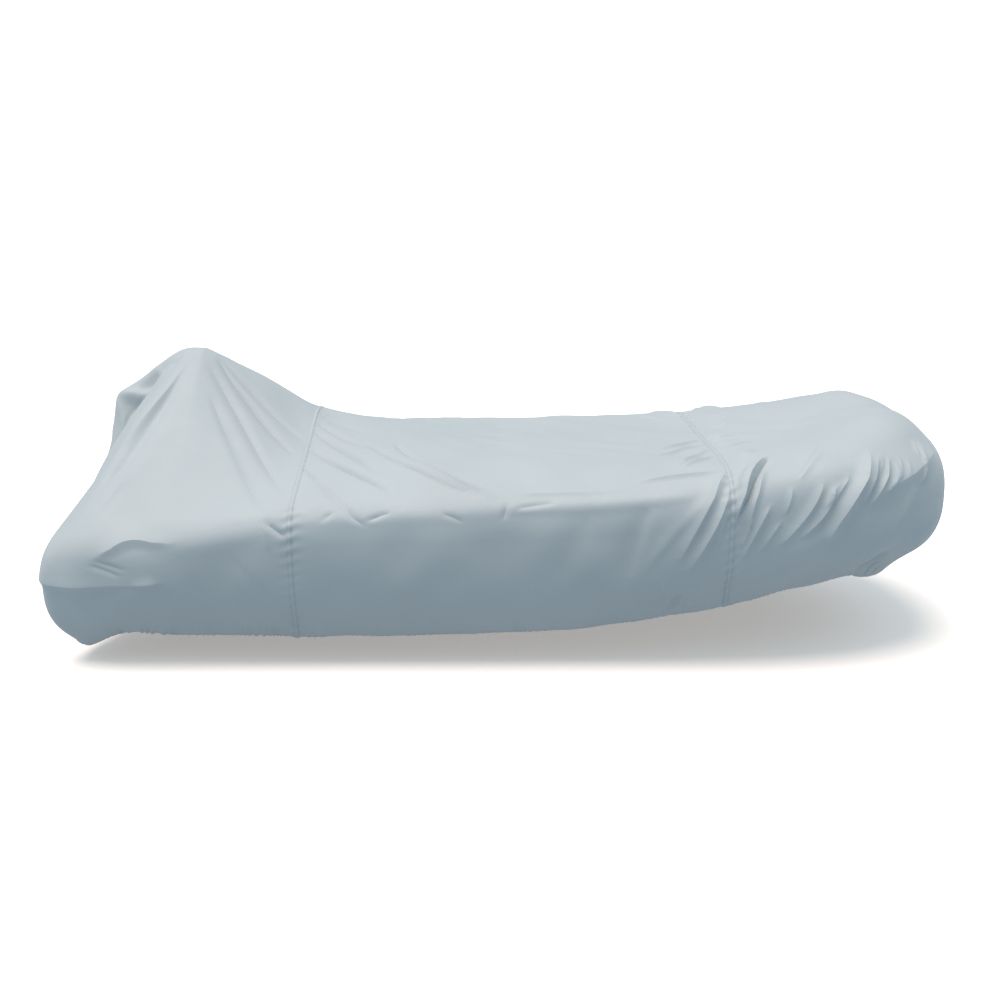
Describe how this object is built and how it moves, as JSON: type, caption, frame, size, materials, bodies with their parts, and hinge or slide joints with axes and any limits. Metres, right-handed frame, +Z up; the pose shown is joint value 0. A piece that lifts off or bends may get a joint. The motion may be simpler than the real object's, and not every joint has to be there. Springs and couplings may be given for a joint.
{
  "type": "fitted boat cover",
  "caption": "Fitted cloth cover for a small inflatable boat, raised at the stern over the motor, open below, with an elastic hem.",
  "frame": {"origin": "underside of the cloth, under the middle of the cover's top, where the boat carries it", "axes": "+X along the boat to the bow, +Y across it to the far side of the picture, +Z up"},
  "size_m": [3.6654, 1.8508, 1.1017],
  "materials": {
    "coated_cloth": "pale blue-grey woven polyester with a thin waterproof coating inside, soft sheen, fine plain weave"
  },
  "bodies": {
    "root": {"stern_panel": "coated_cloth", "middle_panel": "coated_cloth", "bow_panel": "coated_cloth"}
  },
  "joints": []
}
